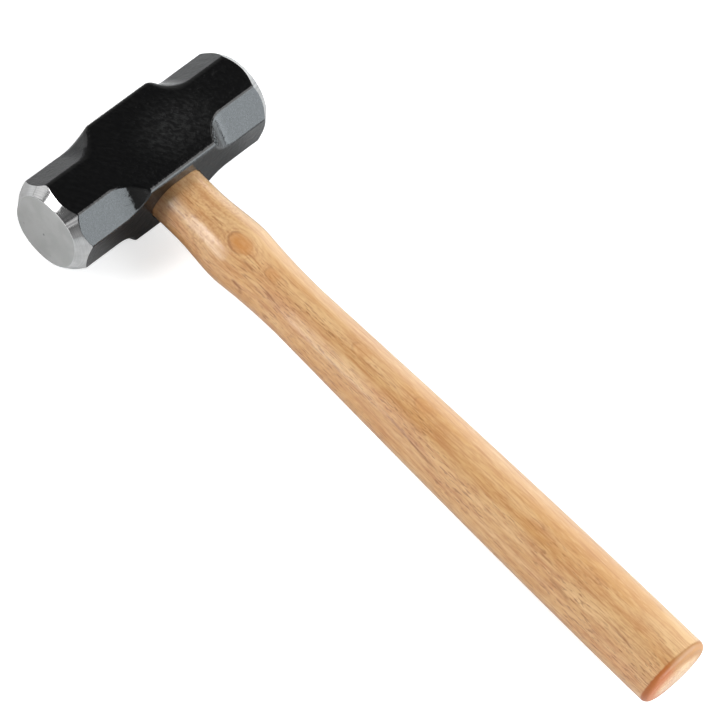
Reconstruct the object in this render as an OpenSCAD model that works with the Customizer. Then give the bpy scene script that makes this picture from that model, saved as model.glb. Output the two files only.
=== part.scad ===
// Double-faced sledge hammer, short handled.
// It lies on one cheek. The origin is the centre of that cheek,
// +X runs along the handle to its butt, +Y along the head to one
// striking face and +Z up through the other cheek.
// All lengths are in millimetres.

/* [Head] */
// Length of the head, crown to crown
head_len = 117.5; // [90:0.5:160]
// Height of the head, measured along the handle
head_h = 42; // [34:0.5:56]
// Width of the head, cheek to cheek
head_w = 40; // [34:0.5:54]
// Rounding of the four long edges where they stay square
edge_r = 1.8; // [1:0.2:4]
// Leg of the long chamfers that make both ends octagonal
chamfer = 11.5; // [8:0.5:13]
// Length of the middle block, whose long edges stay square
mid_len = 38; // [34:1:60]
// Radius of the hollow that ends each long chamfer
scallop_r = 16.5; // [12:0.5:24]

/* [Striking faces] */
// Diameter of the striking face
face_d = 35; // [28:0.5:38]
// Height of the crown in the middle of the striking face
crown = 0.8; // [0.3:0.1:2]
// Diameter at which the bevel round the face reaches the corners
bevel_d = 45; // [42:0.5:52]
// Length of the bevel, measured along the head
bevel_len = 6; // [3:0.5:9]

/* [Eye] */
// Long side of the eye at its waist, along the head
eye_l = 26.7; // [24:0.1:32]
// Short side of the eye at its waist, cheek to cheek
eye_w = 20.7; // [17:0.1:22]
// How far each wall of the eye leans out from the waist to a mouth
eye_lean = 0.45; // [0.2:0.05:1]
// Chamfer round each mouth of the eye
mouth_c = 0.7; // [0.3:0.1:1.5]

/* [Handle] */
// Reach of the handle from the head to the end of the butt
reach = 300.5; // [220:0.5:420]
// Length of the tenon that stands out of the top of the head
tenon_proud = 1; // [0.5:0.5:3]
// Length of the straight root next to the head
root_len = 13; // [6:1:20]
// Distance from the head to the crest of the swell
swell_at = 39; // [30:1:55]
// Long side of the oval section at the swell
swell_l = 31.8; // [29:0.2:36]
// Short side of the oval section at the swell
swell_w = 24.2; // [22:0.2:30]
// Distance from the head to the neck
neck_at = 76; // [65:1:100]
// Long side of the oval section at the neck
neck_l = 28.2; // [24:0.2:34]
// Short side of the oval section at the neck
neck_w = 21.6; // [18:0.2:28]
// Long side of the oval section at the butt
butt_l = 36.6; // [32:0.2:44]
// Short side of the oval section at the butt
butt_w = 27.8; // [24:0.2:34]
// Rounding of the edge of the butt
butt_r = 3; // [1:0.5:5]
// Height of the dome on the end of the butt
butt_dome = 1; // [0.5:0.5:3]

/* [Wedges] */
// Depth of the wooden wedge below the end of the tenon
wood_wedge_len = 28; // [20:1:34]
// Thickness of the wooden wedge at the end of the tenon
wood_wedge_t = 3.4; // [2:0.2:5]
// Thickness of the wooden wedge at its tip
wood_wedge_tip = 0.8; // [0.4:0.1:1.6]
// Depth of a steel wedge below the end of the tenon
steel_wedge_len = 18; // [12:1:24]
// Width of a steel wedge, cheek to cheek
steel_wedge_w = 14; // [10:0.5:15]
// Thickness of a steel wedge at the end of the tenon
steel_wedge_t = 2.8; // [2:0.2:4]
// Thickness of a steel wedge at its tip
steel_wedge_tip = 0.8; // [0.4:0.1:1.4]
// Distance between the middles of the two steel wedges
steel_wedge_gap = 12; // [8:0.5:16]

/* [Hidden] */
$fn = 96;
top_x = -head_h / 2;
foot_x = head_h / 2;
tenon_x = top_x - tenon_proud;
// depth of the chamfer planes below the square edges, and its run-out
chamfer_n = chamfer / sqrt(2);
scallop_y = mid_len / 2 + sqrt(scallop_r * scallop_r - pow(scallop_r - chamfer_n, 2));
edge_n = (head_h + head_w) / 2 / sqrt(2);
// striking faces
face_y = head_len / 2 - crown;
crown_r = (face_d * face_d / 4 + crown * crown) / (2 * crown);
bevel_k = (bevel_d - face_d) / 2 / bevel_len;
// eye: two round ends joined by flats, the same at every depth
eye_c = (eye_l - eye_w) / 2;
eye_r = eye_w / 2;
mouth_r = eye_r + eye_lean;
// handle sections
SIDES = 48;
root_x = foot_x + root_len;
swell_x = foot_x + swell_at;
neck_x = foot_x + neck_at;
end_x = foot_x + reach;
step_out = 0.1;

// Puts a piece at its height above the cheek that the head lies on
module lift() { translate([0, 0, head_w / 2]) children(); }

// A box about the handle's axis with flat oval ends, from x0 to x1
module oval(x0, x1, r0, r1) {
    for (s = [-1, 1])
        translate([x0, s * eye_c, 0]) rotate([0, 90, 0])
            cylinder(h = x1 - x0, r1 = r0, r2 = r1);
    translate([x0, -eye_c, 0]) rotate([0, -90, -90])
        linear_extrude(2 * eye_c)
            polygon([[r0, 0], [r1, x1 - x0], [-r1, x1 - x0], [-r0, 0]]);
}

// The eye's two tapers, which the tenon fills
module eye_taper() {
    oval(top_x, 0, mouth_r, eye_r);
    oval(0, foot_x, eye_r, mouth_r);
}

// Outline of the middle block across the head, with rounded corners
module block_outline() {
    h = head_h / 2 - edge_r;
    w = head_w / 2 - edge_r;
    square([2 * h, head_w], center = true);
    square([head_h, 2 * w], center = true);
    for (a = [-1, 1], b = [-1, 1]) translate([a * h, b * w]) circle(edge_r);
}

// Side view of what one long chamfer takes off, from its plane outwards
module chamfer_outline() {
    translate([scallop_y, 0]) square([head_len, 2 * scallop_r]);
    translate([scallop_y, scallop_r]) circle(scallop_r);
}

// Turned envelope of both ends: crowned face, then bevel
module turned_ends() {
    far = face_y - 3 * bevel_len;
    far_r = face_d / 2 + 3 * bevel_len * bevel_k;
    rotate([90, 0, 0]) {
        cylinder(h = 2 * far, r = far_r, center = true);
        for (s = [0, 180]) rotate([s, 0, 0]) intersection() {
            translate([0, 0, far])
                cylinder(h = 3 * bevel_len + 4, r1 = far_r, r2 = far_r - (3 * bevel_len + 4) * bevel_k);
            translate([0, 0, face_y + crown - crown_r]) sphere(crown_r, $fn = 360);
        }
    }
}

module head() {
    color([0.16, 0.16, 0.17]) lift() difference() {
        intersection() {
            translate([0, head_len / 2, 0]) rotate([90, 0, 0])
                linear_extrude(head_len) block_outline();
            turned_ends();
        }
        for (q = [45, 135, 225, 315], s = [-1, 1])
            rotate([0, q, 0]) translate([0, 0, edge_n - chamfer_n])
                rotate([90, 0, s * 90]) translate([0, 0, -head_h / 2])
                    linear_extrude(head_h) chamfer_outline();
        eye_taper();
        oval(top_x - 0.01, top_x + mouth_c, mouth_r + mouth_c, mouth_r - eye_lean * mouth_c / foot_x);
        oval(foot_x - mouth_c, foot_x + 0.01, mouth_r - eye_lean * mouth_c / foot_x, mouth_r + mouth_c);
    }
}

// Long and short half sizes of the handle at a distance x
function mix(a, b, t) = a + (b - a) * t;
function soft(t) = t * t * (3 - 2 * t);
// Quick fall behind the crest of the swell, which stays rounded
function fall(t) = 1 - pow(1 - 1.06 * t * t / (t + 0.06), 2.3);
function grow(x) =
    x < root_x ? [0, 0, 0] :
    x < swell_x ? [soft((x - root_x) / (swell_x - root_x)), 0, 0] :
    x < neck_x ? [1, fall((x - swell_x) / (neck_x - swell_x)), 0] :
    [1, 1, sin(90 * min(1, (x - neck_x) / (end_x - neck_x)))];
function half(x, root, swell, neck, butt) =
    let (g = grow(x)) mix(mix(mix(root, swell / 2, g[0]), neck / 2, g[1]), butt / 2, g[2]);
function half_l(x) = half(x, eye_c + mouth_r + step_out, swell_l, neck_l, butt_l);
function half_w(x) = half(x, mouth_r + step_out, swell_w, neck_w, butt_w);
// The flat between the two round sides, which fades towards the butt
function flat(x) = eye_c * (1 - 0.7 * soft(min(1, max(0, (x - foot_x) / neck_at))));
// One ring of the handle at x, drawn in by d all round
function ring(x, d) = [for (i = [0:SIDES - 1]) let (
        a = 360 * (i + 0.5) / SIDES,
        c = flat(x))
    [x, sign(cos(a)) * c + (half_l(x) - c - d) * cos(a), (half_w(x) - d) * sin(a)]];
// Stations along the shaft: even steps, then the rounding of the butt
STEPS = 58;
ROUND = 6;
shaft_end = end_x - butt_dome - butt_r;
stations = concat(
    [for (i = [0:STEPS]) [mix(foot_x, shaft_end, i / STEPS), 0]],
    [for (i = [1:ROUND]) let (a = 90 * i / ROUND)
        [shaft_end + butt_r * sin(a), butt_r * (1 - cos(a))]],
    [[end_x - 0.4 * butt_dome, butt_r + 0.3 * butt_w / 2]]);
RINGS = len(stations);

module shaft() {
    pts = concat([for (s = stations) each ring(s[0], s[1])],
        [[foot_x, 0, 0], [end_x, 0, 0]]);
    a = RINGS * SIDES;
    sides = [for (j = [0:RINGS - 2], i = [0:SIDES - 1])
        let (p = j * SIDES + i, q = j * SIDES + (i + 1) % SIDES)
        each [[p, p + SIDES, q + SIDES], [p, q + SIDES, q]]];
    caps = [for (i = [0:SIDES - 1])
        let (k = (i + 1) % SIDES, e = (RINGS - 1) * SIDES)
        each [[a, i, k], [a + 1, e + k, e + i]]];
    polyhedron(points = pts, faces = concat(sides, caps));
}

// Tenon in the eye, from its sawn end above the head to its foot in the shaft
module tenon() {
    eye_taper();
    oval(tenon_x, top_x, mouth_r, mouth_r);
    oval(foot_x - mouth_c / 2, foot_x + 1, mouth_r, mouth_r);
}

// A wedge driven in from the end of the tenon, thick along Z
module wedge(len, wide, thick, tip) {
    translate([tenon_x, wide / 2, 0]) rotate([90, 0, 0])
        linear_extrude(wide)
            polygon([[0, -thick / 2], [len, -tip / 2], [len, tip / 2], [0, thick / 2]]);
}

module wood_wedge_blank() {
    wedge(wood_wedge_len, eye_l + 4 * eye_lean + 4, wood_wedge_t, wood_wedge_tip);
}

// Steel wedge of one side, across the wooden one
module steel_wedge(side) {
    translate([0, side * steel_wedge_gap / 2, 0]) rotate([90, 0, 0])
        wedge(steel_wedge_len, steel_wedge_w, steel_wedge_t, steel_wedge_tip);
}

module handle() {
    color([0.88, 0.71, 0.52]) lift() {
        difference() {
            tenon();
            wood_wedge_blank();
            for (s = [-1, 1]) steel_wedge(s);
        }
        shaft();
    }
}

module wood_wedge() {
    color([0.72, 0.5, 0.32]) lift() difference() {
        intersection() {
            tenon();
            wood_wedge_blank();
        }
        for (s = [-1, 1]) steel_wedge(s);
    }
}

module steel_wedge_1() { color([0.6, 0.61, 0.63]) lift() steel_wedge(-1); }
module steel_wedge_2() { color([0.6, 0.61, 0.63]) lift() steel_wedge(1); }

head();
handle();
wood_wedge();
steel_wedge_1();
steel_wedge_2();
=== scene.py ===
"""Looks of a short-handled double-faced sledge hammer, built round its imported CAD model.

The hammer lies on one cheek of its head, on a white table. The frame is the
part's own: metres, +X along the handle to the butt, +Y along the head, +Z up.
Sizes below are in millimetres, measured from the middle of the eye, and so
``z = 0`` of a size is the axis of the handle, half a head above the table.
"""

import logging
import math
from dataclasses import dataclass, field
from enum import Enum
from typing import Callable, Iterable, Sequence, Union

import bpy
import numpy as np
from mathutils import Matrix, Vector


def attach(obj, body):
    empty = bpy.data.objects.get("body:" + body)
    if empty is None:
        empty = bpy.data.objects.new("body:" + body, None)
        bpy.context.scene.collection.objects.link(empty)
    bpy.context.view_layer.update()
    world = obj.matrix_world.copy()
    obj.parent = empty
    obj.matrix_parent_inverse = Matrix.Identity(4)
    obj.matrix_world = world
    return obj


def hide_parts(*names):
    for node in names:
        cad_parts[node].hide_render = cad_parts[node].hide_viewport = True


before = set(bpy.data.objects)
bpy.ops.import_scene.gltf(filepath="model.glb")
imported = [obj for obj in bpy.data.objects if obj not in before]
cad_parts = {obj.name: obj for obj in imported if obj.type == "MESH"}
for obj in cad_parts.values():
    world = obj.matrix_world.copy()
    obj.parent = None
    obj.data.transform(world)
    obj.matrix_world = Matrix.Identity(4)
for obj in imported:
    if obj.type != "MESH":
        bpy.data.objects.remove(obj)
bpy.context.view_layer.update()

log = logging.getLogger("hammer")

MM = 0.001
AXIS_HEIGHT = 20.0
ROOT = "root"

Colour = tuple[float, float, float]
Point = tuple[float, float, float]
Value = Union[float, Sequence[float], bpy.types.NodeSocket]


def linear(red: int, green: int, blue: int) -> Colour:
    """Turns a colour as it is seen on a screen into the shader's own scale.

    Args:
        red: Red, 0 to 255.
        green: Green, 0 to 255.
        blue: Blue, 0 to 255.

    Returns:
        The colour in linear light.
    """
    def one(level: int) -> float:
        """Converts one channel."""
        share = level / 255
        return share / 12.92 if share <= 0.04045 else ((share + 0.055) / 1.055) ** 2.4

    return one(red), one(green), one(blue)


# --------------------------------------------------------------------------
# Meshes
# --------------------------------------------------------------------------


def make_mesh(name: str, points: np.ndarray, faces: Sequence[Sequence[int]]) -> bpy.types.Mesh:
    """Makes a smooth-shaded mesh, its faces turned outwards.

    Args:
        name: Name of the mesh.
        points: Corners in millimetres about the handle's axis, one row each.
        faces: Corner numbers of each face of a closed skin.

    Returns:
        The mesh, in metres, lifted to its height above the table.
    """
    volume = 0.0
    for face in faces:
        a, b, c = points[face[0]], points[face[1]], points[face[2]]
        volume += float(a[0] * (b[1] * c[2] - b[2] * c[1]) - a[1] * (b[0] * c[2] - b[2] * c[0])
                        + a[2] * (b[0] * c[1] - b[1] * c[0]))
    if volume < 0:
        faces = [tuple(reversed(face)) for face in faces]
    mesh = bpy.data.meshes.new(name)
    mesh.from_pydata(((points + (0, 0, AXIS_HEIGHT)) * MM).tolist(), [], faces)
    mesh.shade_smooth()
    mesh.update()
    return mesh


def tube(rings: np.ndarray, start: Point, end: Point) -> tuple[np.ndarray, list[tuple[int, ...]]]:
    """Skins a row of rings and closes both ends with a fan.

    Args:
        rings: Points of the rings, shaped rings x sides x 3.
        start: Middle of the first ring's cap.
        end: Middle of the last ring's cap.

    Returns:
        The points and the faces of the closed skin.
    """
    count, sides = rings.shape[:2]
    points = np.vstack([rings.reshape(-1, 3), [start], [end]])
    here = np.arange(sides)
    after = (here + 1) % sides
    faces: list[tuple[int, ...]] = []
    for ring in range(count - 1):
        low, high = ring * sides, (ring + 1) * sides
        faces += zip((low + here).tolist(), (high + here).tolist(),
                     (high + after).tolist(), (low + after).tolist())
    last = (count - 1) * sides
    faces += zip([count * sides] * sides, here.tolist(), after.tolist())
    faces += zip([count * sides + 1] * sides, (last + after).tolist(), (last + here).tolist())
    return points, faces


def link(name: str, mesh: bpy.types.Mesh) -> bpy.types.Object:
    """Puts a mesh into the scene as an object of that name.

    Args:
        name: Name of the object.
        mesh: Its mesh.

    Returns:
        The object, at the origin.
    """
    piece = bpy.data.objects.new(name, mesh)
    bpy.context.scene.collection.objects.link(piece)
    return piece


class Cut(Enum):
    """What a boolean does with its tools."""

    AWAY = "DIFFERENCE"
    KEEP = "INTERSECT"


def carve(piece: bpy.types.Object, tools: Iterable[bpy.types.Object], how: Cut) -> None:
    """Cuts a piece with tools, which are used up.

    Args:
        piece: The piece, whose mesh is replaced by the result.
        tools: Closed meshes that cut it.
        how: Whether the tools are taken away or their common part is kept.
    """
    for tool in tools:
        step = piece.modifiers.new("carve", "BOOLEAN")
        step.object, step.operation, step.solver = tool, how.value, "MANIFOLD"
        bpy.context.view_layer.update()
        graph = bpy.context.evaluated_depsgraph_get()
        done = bpy.data.meshes.new_from_object(piece.evaluated_get(graph))
        piece.modifiers.clear()
        spent = piece.data
        piece.data = done
        done.name = spent.name
        bpy.data.meshes.remove(spent)
        worn = tool.data
        bpy.data.objects.remove(tool)
        bpy.data.meshes.remove(worn)


def soften(piece: bpy.types.Object, width: float, angle: float = 30.0, steps: int = 3) -> None:
    """Rounds the sharp edges of a piece for good.

    Args:
        piece: The piece.
        width: Width of the rounding in millimetres.
        angle: Edges that turn more than this many degrees are rounded.
        steps: Faces across the rounding.
    """
    step = piece.modifiers.new("soften", "BEVEL")
    step.width, step.segments = width * MM, steps
    step.limit_method, step.angle_limit = "ANGLE", math.radians(angle)
    step.use_clamp_overlap = True
    bpy.context.view_layer.update()
    graph = bpy.context.evaluated_depsgraph_get()
    done = bpy.data.meshes.new_from_object(piece.evaluated_get(graph))
    piece.modifiers.clear()
    spent = piece.data
    piece.data = done
    done.name = spent.name
    bpy.data.meshes.remove(spent)
    done.shade_smooth()


def crease(mesh: bpy.types.Mesh, angle: float) -> None:
    """Keeps shading smooth but for edges that turn by more than an angle.

    Args:
        mesh: The mesh.
        angle: The angle in degrees.
    """
    mesh.shade_smooth()
    mesh.set_sharp_from_angle(angle=math.radians(angle))


# --------------------------------------------------------------------------
# Shader graphs
# --------------------------------------------------------------------------


class Graph:
    """The node tree of one material, written in short calls."""

    def __init__(self, name: str) -> None:
        """Starts an empty material.

        Args:
            name: Name of the material.
        """
        self.material = bpy.data.materials.new(name)
        self.material.use_nodes = True
        self.tree = self.material.node_tree
        self.tree.nodes.clear()

    def node(self, kind: str, inputs: dict[Union[str, int], Value] | None = None,
             **settings: object) -> bpy.types.Node:
        """Adds a node.

        Args:
            kind: Blender's name of the node type.
            inputs: Numbers or sockets for its inputs, by name or place.
            **settings: Properties of the node.

        Returns:
            The node.
        """
        made = self.tree.nodes.new(kind)
        for key, value in settings.items():
            setattr(made, key, value)
        for key, value in (inputs or {}).items():
            self.feed(made.inputs[key], value)
        return made

    def feed(self, socket: bpy.types.NodeSocket, value: Value) -> None:
        """Links a socket to another one, or gives it a number or colour."""
        if isinstance(value, bpy.types.NodeSocket):
            self.tree.links.new(value, socket)
        elif isinstance(value, (int, float)):
            socket.default_value = float(value)
        else:
            wanted = len(socket.default_value)
            socket.default_value = (tuple(value) + (1.0,))[:wanted]

    def place(self) -> bpy.types.NodeSocket:
        """Returns the place on the object in millimetres about the handle's axis."""
        spot = self.node("ShaderNodeTexCoord").outputs["Object"]
        scaled = self.vector("MULTIPLY", spot, (1000, 1000, 1000))
        return self.vector("SUBTRACT", scaled, (0, 0, AXIS_HEIGHT))

    def math(self, how: str, a: Value, b: Value = 0.0, c: Value = 0.0,
             clamp: bool = False) -> bpy.types.NodeSocket:
        """Adds a Math node.

        Args:
            how: The operation.
            a: First number.
            b: Second number.
            c: Third number, where the operation has one.
            clamp: Keeps the result between 0 and 1.

        Returns:
            The result.
        """
        return self.node("ShaderNodeMath", {0: a, 1: b, 2: c}, operation=how, use_clamp=clamp).outputs[0]

    def vector(self, how: str, a: Value, b: Value = (0, 0, 0)) -> bpy.types.NodeSocket:
        """Adds a Vector Math node and returns its vector, or its number for a length."""
        made = self.node("ShaderNodeVectorMath", {0: a, 1: b}, operation=how)
        return made.outputs["Value" if how in ("LENGTH", "DOT_PRODUCT", "DISTANCE") else "Vector"]

    def split(self, vector: Value) -> tuple[bpy.types.NodeSocket, ...]:
        """Returns the three parts of a vector."""
        return tuple(self.node("ShaderNodeSeparateXYZ", {0: vector}).outputs)

    def join(self, x: Value, y: Value, z: Value) -> bpy.types.NodeSocket:
        """Returns the vector of three numbers."""
        return self.node("ShaderNodeCombineXYZ", {0: x, 1: y, 2: z}).outputs[0]

    def noise(self, vector: Value, scale: float, detail: float = 2.0, rough: float = 0.5,
              twist: float = 0.0) -> bpy.types.NodeSocket:
        """Adds noise.

        Args:
            vector: Where it is read, in millimetres.
            scale: Waves per millimetre.
            detail: Octaves.
            rough: Share of the finer octaves.
            twist: Distortion.

        Returns:
            The noise, about 0 to 1.
        """
        return self.node("ShaderNodeTexNoise", {"Vector": vector, "Scale": scale, "Detail": detail,
                                                "Roughness": rough, "Distortion": twist}).outputs[0]

    def cells(self, vector: Value, scale: float, look: str = "F1") -> bpy.types.NodeSocket:
        """Returns the distance to the nearest of scattered points."""
        return self.node("ShaderNodeTexVoronoi", {"Vector": vector, "Scale": scale},
                         feature=look).outputs["Distance"]

    def step(self, value: Value, low: float, high: float) -> bpy.types.NodeSocket:
        """Returns a smooth step from 0 at low to 1 at high, or down where low is the higher."""
        flip = low > high
        a, b = (high, low) if flip else (low, high)
        made = self.node("ShaderNodeMapRange", {"Value": value, "From Min": a, "From Max": b,
                                                "To Min": 1.0 if flip else 0.0, "To Max": 0.0 if flip else 1.0},
                         interpolation_type="SMOOTHSTEP")
        return made.outputs[0]

    def span(self, value: Value, low: float, high: float, to_low: float, to_high: float) -> bpy.types.NodeSocket:
        """Returns a value stretched from one range to another, kept inside it."""
        return self.node("ShaderNodeMapRange", {"Value": value, "From Min": low, "From Max": high,
                                                "To Min": to_low, "To Max": to_high}).outputs[0]

    def blend(self, share: Value, a: Value, b: Value, how: str = "MIX") -> bpy.types.NodeSocket:
        """Mixes two colours.

        Args:
            share: How much of the second, 0 to 1.
            a: First colour.
            b: Second colour.
            how: Blend type.

        Returns:
            The mixed colour.
        """
        made = self.node("ShaderNodeMix", {0: share, 6: a, 7: b}, data_type="RGBA", blend_type=how)
        return made.outputs[2]

    def bump(self, height: Value, depth: float, under: Value | None = None) -> bpy.types.NodeSocket:
        """Turns a height into a normal.

        Args:
            height: The height, 0 to 1.
            depth: Its range in millimetres.
            under: A normal that this one lies on.

        Returns:
            The normal.
        """
        inputs: dict[Union[str, int], Value] = {"Height": height, "Distance": depth * MM, "Strength": 1.0}
        if under is not None:
            inputs["Normal"] = under
        return self.node("ShaderNodeBump", inputs).outputs[0]

    def finish(self, **inputs: Value) -> bpy.types.Material:
        """Closes the graph with one Principled shader.

        Args:
            **inputs: Its sockets, with underscores for the spaces of their names.

        Returns:
            The material.
        """
        named = {key.replace("_", " "): value for key, value in inputs.items()}
        shader = self.node("ShaderNodeBsdfPrincipled", named)
        end = self.node("ShaderNodeOutputMaterial")
        self.tree.links.new(shader.outputs[0], end.inputs["Surface"])
        return self.material


# --------------------------------------------------------------------------
# Finishes
# --------------------------------------------------------------------------


@dataclass(frozen=True)
class BlackPaint:
    """Glossy black paint on the drop-forged skin of the head."""

    name: str = "black_paint"
    black: Colour = (0.0016, 0.0016, 0.0018)
    # the scuffed ridge colour is partly worn paint, partly a painted sheen
    sheen_and_scuffs: Colour = (0.025, 0.025, 0.0245)
    sandy: Colour = (0.022, 0.022, 0.026)
    # centre of the painted sheen on the cheek
    painted_sheen_centre: Point = (3.0, 12.0, 20.0)
    gloss_low: float = 0.07
    gloss_high: float = 0.13
    skin_depth: float = 0.12

    def material(self) -> bpy.types.Material:
        """Returns the finish as a material."""
        g = Graph(self.name)
        place = g.place()
        x, y, z = g.split(place)
        # the forging's skin is leathery, with creases that run slantwise over the cheeks
        along = g.math("ADD", g.math("MULTIPLY", x, 0.83), g.math("MULTIPLY", y, 0.56))
        across = g.math("SUBTRACT", g.math("MULTIPLY", y, 0.83), g.math("MULTIPLY", x, 0.56))
        drawn = g.noise(g.join(g.math("MULTIPLY", along, 0.22), g.math("MULTIPLY", across, 0.5), g.math("MULTIPLY", z, 0.4)), 1.0, 3, 0.5, 0.8)
        swell = g.noise(place, 0.06, 2, 0.45)
        leather = g.noise(g.join(g.math("MULTIPLY", along, 0.38), g.math("MULTIPLY", across, 0.62), g.math("MULTIPLY", z, 0.5)), 1.0, 3, 0.55, 0.35)
        peel = g.noise(place, 1.5, 2, 0.5)
        # the ridges are lighter, most of all round one spot on the cheek beside the eye: partly worn paint, partly a
        # painted sheen for the room's reflection
        off = g.vector("LENGTH", g.vector("MULTIPLY", g.vector("SUBTRACT", place, self.painted_sheen_centre), (0.07, 0.045, 0.03)))
        ridges = g.math("MULTIPLY", g.step(leather, 0.39, 0.64), g.span(drawn, 0.35, 0.65, 0.4, 1.0))
        painted_sheen = g.math("MULTIPLY_ADD", g.step(off, 1.25, 0.1), 0.88, 0.12)
        colour = g.blend(g.math("MULTIPLY", g.math("MULTIPLY_ADD", ridges, 0.78, 0.22), painted_sheen), self.black, self.sheen_and_scuffs)
        # spray that fell on the long chamfers dried as fine sand
        lean = g.split(g.node("ShaderNodeTexCoord").outputs["Normal"])
        slant = g.step(g.math("ABSOLUTE", g.math("MULTIPLY", lean[0], lean[2])), 0.36, 0.47)
        spread = g.math("ADD", g.math("ABSOLUTE", x), g.math("ABSOLUTE", z))
        slant = g.math("MULTIPLY", slant, g.step(spread, 31.5, 30.5))
        sand = g.math("MULTIPLY", g.step(g.noise(place, 1.3, 2, 0.6), 0.44, 0.64), slant)
        colour = g.blend(sand, colour, self.sandy)
        rough = g.span(g.math("ADD", g.math("MULTIPLY", drawn, 0.5), g.math("MULTIPLY", leather, 0.5)),
                       0.35, 0.65, self.gloss_low, self.gloss_high)
        normal = g.bump(swell, self.skin_depth * 2)
        normal = g.bump(drawn, self.skin_depth * 0.8, normal)
        calm = g.span(g.math("ABSOLUTE", g.math("MULTIPLY", lean[0], lean[2])), 0.08, 0.3, 1.0, 0.2)
        normal = g.bump(g.math("MULTIPLY", leather, calm), self.skin_depth * 1.2, normal)
        normal = g.bump(g.math("MULTIPLY", peel, calm), self.skin_depth * 0.22, normal)
        return g.finish(Base_Color=colour, Roughness=rough, IOR=1.5, Normal=normal)


@dataclass(frozen=True)
class GroundSteel:
    """Bare steel of the bevel, turned and polished round the head's axis."""

    name: str = "ground_steel"
    bright: Colour = (0.66, 0.66, 0.66)
    dull: Colour = (0.52, 0.52, 0.52)
    shade: Colour = (0.34, 0.34, 0.345)
    # where the painted dark stripes of the bevel lie
    dark_stripes_at: float = 1.09
    gloss_low: float = 0.08
    gloss_high: float = 0.14
    groove: float = 0.006

    def material(self) -> bpy.types.Material:
        """Returns the finish as a material."""
        g = Graph(self.name)
        place = g.place()
        x, y, z = g.split(place)
        radius = g.vector("LENGTH", g.join(x, 0.0, z))
        turn = g.math("ARCTAN2", z, x)
        lines = g.noise(g.join(g.math("MULTIPLY", radius, 5.0), g.math("MULTIPLY", turn, 1.2), y), 1.0, 3, 0.6)
        cloud = g.noise(place, 0.2, 3, 0.5)
        colour = g.blend(g.step(g.math("ADD", g.math("MULTIPLY", lines, 0.6), g.math("MULTIPLY", cloud, 0.4)), 0.35, 0.65),
                         self.dull, self.bright)
        # dark stripes fan out from the face, most of them in one place: painted shade for darker reflections in the
        # bevel
        dark_stripes = g.step(g.math("SINE", g.math("MULTIPLY", turn, 62.0)), -0.2, 0.7)
        there = g.step(g.math("ABSOLUTE", g.math("SUBTRACT", turn, self.dark_stripes_at)), 0.2, 0.08)
        faint = g.noise(g.join(g.math("MULTIPLY", turn, 3.0), 0.0, 3.0), 1.0, 2, 0.5)
        colour = g.blend(g.math("MULTIPLY", dark_stripes, g.math("MULTIPLY", there, 0.8)), colour, self.shade)
        colour = g.blend(g.math("MULTIPLY", g.step(faint, 0.45, 0.65), 0.3), colour, self.shade)
        rough = g.span(g.math("ADD", g.math("MULTIPLY", lines, 0.5), g.math("MULTIPLY", cloud, 0.5)),
                       0.35, 0.65, self.gloss_low, self.gloss_high)
        normal = g.bump(cloud, 0.03)
        normal = g.bump(lines, self.groove, normal)
        return g.finish(Base_Color=colour, Metallic=1.0, Roughness=rough, Normal=normal)


@dataclass(frozen=True)
class StrikingSteel:
    """Satin bare steel of the crowned faces, with the marks of a few light blows."""

    name: str = "striking_steel"
    bright: Colour = (0.485, 0.485, 0.477)
    dull: Colour = (0.425, 0.425, 0.417)
    dent: Colour = (0.16, 0.16, 0.165)
    centre: float = 0.8
    gloss_low: float = 0.3
    gloss_high: float = 0.42

    def material(self) -> bpy.types.Material:
        """Returns the finish as a material."""
        g = Graph(self.name)
        place = g.place()
        x, y, z = g.split(place)
        radius = g.vector("LENGTH", g.join(x, 0.0, z))
        turned = g.noise(g.join(g.math("MULTIPLY", radius, 3.2), g.math("MULTIPLY", g.math("ARCTAN2", z, x), 0.5), 0.0), 1.0, 3, 0.6)
        cloud = g.noise(place, 0.11, 3, 0.5)
        scratches = g.noise(g.join(g.math("MULTIPLY", g.math("ADD", x, z), 0.12), g.math("MULTIPLY", g.math("SUBTRACT", x, z), 2.4), y), 1.0, 3, 0.65)
        nicks = g.step(g.cells(g.vector("MULTIPLY", place, (1, 0.05, 0.7)), 0.11), 0.065, 0.03)
        colour = g.blend(g.step(cloud, 0.35, 0.65), self.dull, self.bright)
        colour = g.blend(g.math("MULTIPLY", g.step(scratches, 0.62, 0.74), 0.25), colour, self.bright)
        colour = g.blend(g.math("MULTIPLY", nicks, 0.35), colour, self.dent)
        # the centre mark of the turning
        mark = g.step(g.vector("LENGTH", g.join(x, 0.0, g.math("MULTIPLY", g.math("ADD", z, 1.4), 0.8))), self.centre, 0.2)
        colour = g.blend(g.math("MULTIPLY", mark, 0.75), colour, self.dent)
        rough = g.span(g.math("ADD", g.math("MULTIPLY", turned, 0.4), g.math("MULTIPLY", cloud, 0.6)),
                       0.35, 0.65, self.gloss_low, self.gloss_high)
        normal = g.bump(turned, 0.004)
        normal = g.bump(scratches, 0.003, normal)
        normal = g.bump(g.math("SUBTRACT", 1.0, g.math("MAXIMUM", nicks, mark)), 0.05, normal)
        return g.finish(Base_Color=colour, Metallic=1.0, Roughness=rough, Normal=normal)


@dataclass(frozen=True)
class EyeSteel:
    """Dark scaled steel on the walls and the mouths of the eye."""

    name: str = "eye_steel"
    scale: Colour = (0.012, 0.011, 0.011)
    rust: Colour = (0.045, 0.022, 0.012)

    def material(self) -> bpy.types.Material:
        """Returns the finish as a material."""
        g = Graph(self.name)
        place = g.place()
        cloud = g.noise(place, 0.5, 4, 0.6)
        grain = g.noise(place, 2.5, 3, 0.6)
        colour = g.blend(g.step(cloud, 0.45, 0.7), self.scale, self.rust)
        normal = g.bump(grain, 0.03)
        return g.finish(Base_Color=colour, Roughness=g.span(grain, 0.3, 0.7, 0.4, 0.7), Metallic=0.0, Normal=normal)


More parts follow.
